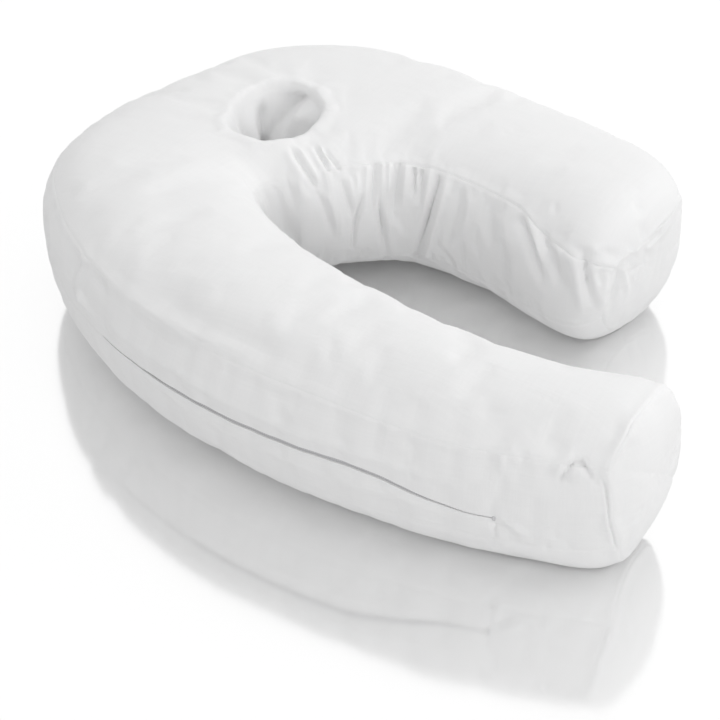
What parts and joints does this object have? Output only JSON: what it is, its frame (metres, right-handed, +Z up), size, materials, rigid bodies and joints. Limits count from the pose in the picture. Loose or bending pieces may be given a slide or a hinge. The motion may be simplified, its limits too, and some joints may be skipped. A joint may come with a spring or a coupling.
{
  "type": "u-shaped ear pillow",
  "caption": "White side-sleeper pillow in a lopsided horseshoe form with two open arms, a pleated ear hole in the wide bend, gathered inner wall and concealed zip.",
  "frame": {"origin": "on the surface that the pillow lies on, under the middle of its outline", "axes": "+X from the bend towards the open ends of the arms, +Y from the long slim arm to the short wide arm, +Z up out of the crown"},
  "size_m": [0.6442, 0.529, 0.14],
  "materials": {
    "cover_cloth": "matte",
    "zip_tape": "matte",
    "zip_metal": "satin"
  },
  "bodies": {
    "root": {"pillow_body": "cover_cloth", "inner_band": "cover_cloth", "outer_band_upper": "cover_cloth", "outer_band_lower": "cover_cloth", "near_end_panel": "cover_cloth", "far_end_panel": "cover_cloth", "ear_sleeve": "cover_cloth", "zip_tape": "zip_tape", "zip_end_stop": "zip_metal"}
  },
  "joints": []
}
